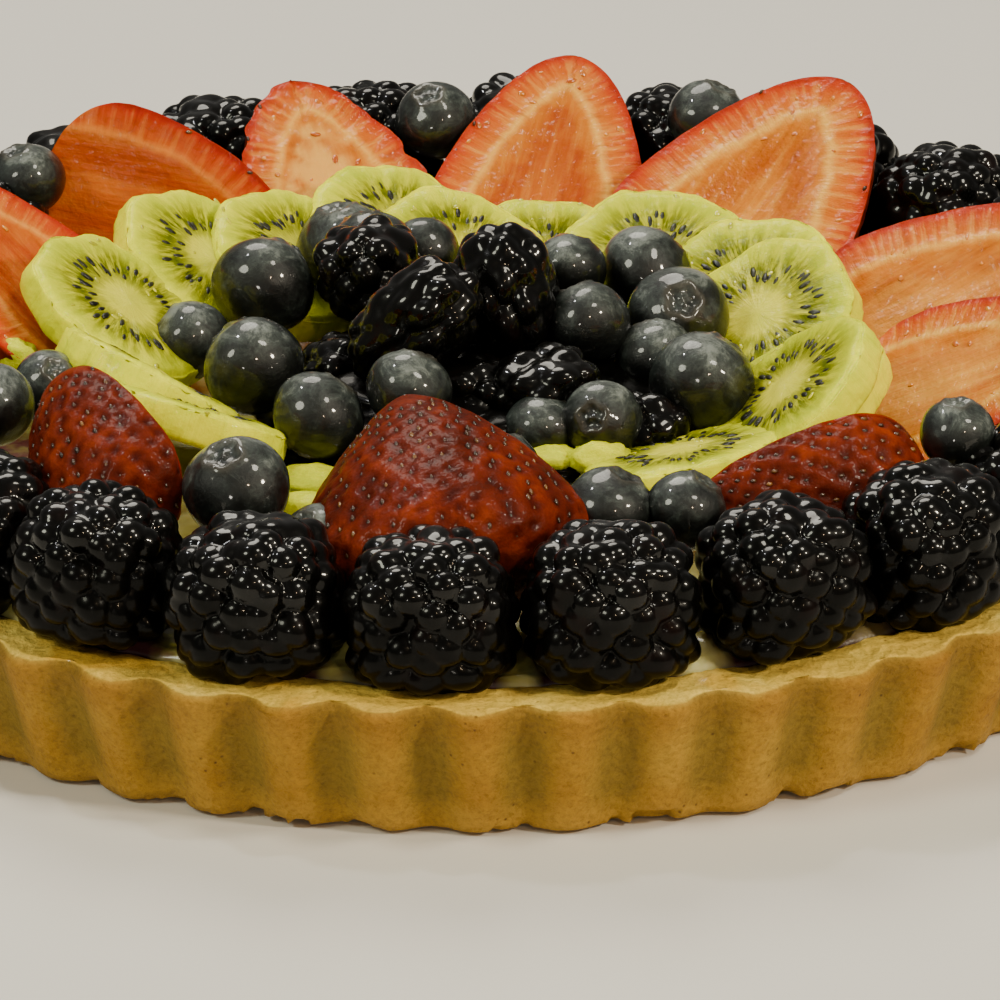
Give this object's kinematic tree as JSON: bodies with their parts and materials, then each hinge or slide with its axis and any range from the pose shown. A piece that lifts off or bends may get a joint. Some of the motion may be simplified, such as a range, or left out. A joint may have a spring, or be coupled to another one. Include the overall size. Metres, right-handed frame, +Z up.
{
  "type": "fruit tart",
  "caption": "Round fruit tart: fluted shortcrust shell filled with pastry cream, topped with rings of dark brambles, halved strawberries and kiwi slices round a heap of mixed berries.",
  "frame": {"origin": "centre of the flat base, on the surface that the tart rests on", "axes": "+Z up, out of the fruit; -Y towards the front; +X to the right as seen from the front"},
  "size_m": [0.2486, 0.249, 0.0603],
  "materials": {
    "shortcrust": "matte",
    "custard": "satin",
    "bramble_skin": "gloss",
    "strawberry": "gloss",
    "kiwi": "gloss",
    "blueberry_skin": "satin",
    "mixed_berries": "gloss"
  },
  "bodies": {
    "root": {"crust": "shortcrust", "pastry_cream": "custard", "bramble_01": "bramble_skin", "bramble_02": "bramble_skin", "bramble_03": "bramble_skin", "bramble_04": "bramble_skin", "bramble_05": "bramble_skin", "bramble_06": "bramble_skin", "bramble_07": "bramble_skin", "bramble_08": "bramble_skin", "bramble_09": "bramble_skin", "bramble_10": "bramble_skin", "bramble_11": "bramble_skin", "bramble_12": "bramble_skin", "bramble_13": "bramble_skin", "bramble_14": "bramble_skin", "bramble_15": "bramble_skin", "bramble_16": "bramble_skin", "bramble_17": "bramble_skin", "bramble_18": "bramble_skin", "bramble_19": "bramble_skin", "bramble_20": "bramble_skin", "bramble_21": "bramble_skin", "bramble_22": "bramble_skin", "bramble_23": "bramble_skin", "bramble_24": "bramble_skin", "strawberry_front": "strawberry", "strawberry_front_right": "strawberry", "strawberry_right": "strawberry", "strawberry_right_back": "strawberry", "strawberry_back_right": "strawberry", "strawberry_back": "strawberry", "strawberry_back_left": "strawberry", "strawberry_left_back": "strawberry", "strawberry_left": "strawberry", "strawberry_front_left": "strawberry", "kiwi_01": "kiwi", "kiwi_02": "kiwi", "kiwi_03": "kiwi", "kiwi_04": "kiwi", "kiwi_05": "kiwi", "kiwi_06": "kiwi", "kiwi_07": "kiwi", "kiwi_08": "kiwi", "kiwi_09": "kiwi", "kiwi_10": "kiwi", "kiwi_11": "kiwi", "kiwi_12": "kiwi", "kiwi_13": "kiwi", "blueberry_01": "blueberry_skin", "blueberry_02": "blueberry_skin", "blueberry_03": "blueberry_skin", "blueberry_04": "blueberry_skin", "blueberry_05": "blueberry_skin", "blueberry_06": "blueberry_skin", "blueberry_07": "blueberry_skin", "blueberry_08": "blueberry_skin", "blueberry_09": "blueberry_skin", "blueberry_10": "blueberry_skin", "berry_heap": "mixed_berries"}
  },
  "joints": []
}
